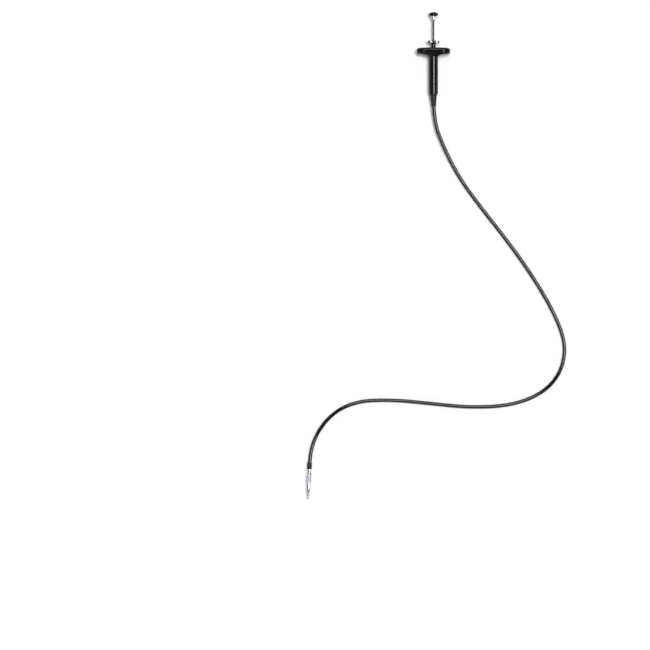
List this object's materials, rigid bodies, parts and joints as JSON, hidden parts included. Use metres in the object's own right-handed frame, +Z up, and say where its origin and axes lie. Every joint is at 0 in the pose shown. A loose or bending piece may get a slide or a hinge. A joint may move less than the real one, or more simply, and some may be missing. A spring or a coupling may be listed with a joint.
{
  "type": "cable shutter release",
  "caption": "Hand-held mechanical cable shutter release: thumb plunger over a winged finger rest, disc lock, sheathed cable and a screw-in tip with a sliding pin.",
  "frame": {"origin": "on the surface that the release lies on, under the middle of the handle's length and width (the cable and its screw-in tip left out)", "axes": "+Y along the handle towards the thumb button, +Z up from the surface, +X across the finger rest's wings"},
  "size_m": [0.2521, 0.47, 0.0135],
  "materials": {
    "moulded_black": "glossy moulded black",
    "chrome_plate": "bright chrome plate",
    "black_nickel": "dark polished plate",
    "dark_steel": "blackened drawn steel",
    "steel": "drawn steel",
    "brass": "turned brass",
    "cable_skin": "satin black extruded skin",
    "sleeve_skin": "black flexible sleeve",
    "nickel_plate": "satin nickel plate"
  },
  "bodies": {
    "handle": {"finger_rest": "moulded_black", "grip_barrel": "moulded_black", "lock_sleeve": "brass", "lock_spring": "steel", "guide_bush": "brass", "return_spring": "steel", "end_plug": "black_nickel", "strain_relief": "sleeve_skin", "cable_sheath": "cable_skin", "cable_conduit": "steel", "release_wire": "steel", "end_sleeve": "sleeve_skin", "tip_ferrule": "chrome_plate", "swivel_bush": "brass"},
    "plunger": {"thumb_button": "moulded_black", "button_collar": "chrome_plate", "plunger_rod": "dark_steel", "stop_collar": "brass", "wire_clamp": "brass"},
    "lock": {"lock_disc": "chrome_plate", "lock_stem": "black_nickel", "lock_balls": "steel"},
    "screw_collar": {"thread_collar": "nickel_plate"},
    "tip_pin": {"release_pin": "steel"}
  },
  "joints": [
    {"name": "plunger_slide", "type": "slide", "parent": "handle", "child": "plunger", "axis": [0, -1, 0], "range_m": [0, 0.014], "stiffness_N_per_m": 120, "springref_m": -0.008, "deforming": ["return_spring", "release_wire"]},
    {"name": "tip_pin_slide", "type": "slide", "parent": "handle", "child": "tip_pin", "axis": [-0.0471, -0.9989, 0], "range_m": [0, 0.014]},
    {"name": "lock_disc_slide", "type": "slide", "parent": "handle", "child": "lock", "axis": [0, -1, 0], "range_m": [0, 0.002], "stiffness_N_per_m": 400, "springref_m": -0.002, "deforming": ["lock_spring"]},
    {"name": "collar_spin", "type": "hinge", "parent": "handle", "child": "screw_collar", "pos_m": [-0.12026, -0.41043, 0.00285], "axis": [-0.0471, -0.9989, 0], "continuous": true}
  ],
  "couplings": [
    {"joint": "tip_pin_slide", "follows": "plunger_slide", "ratio": 1}
  ]
}
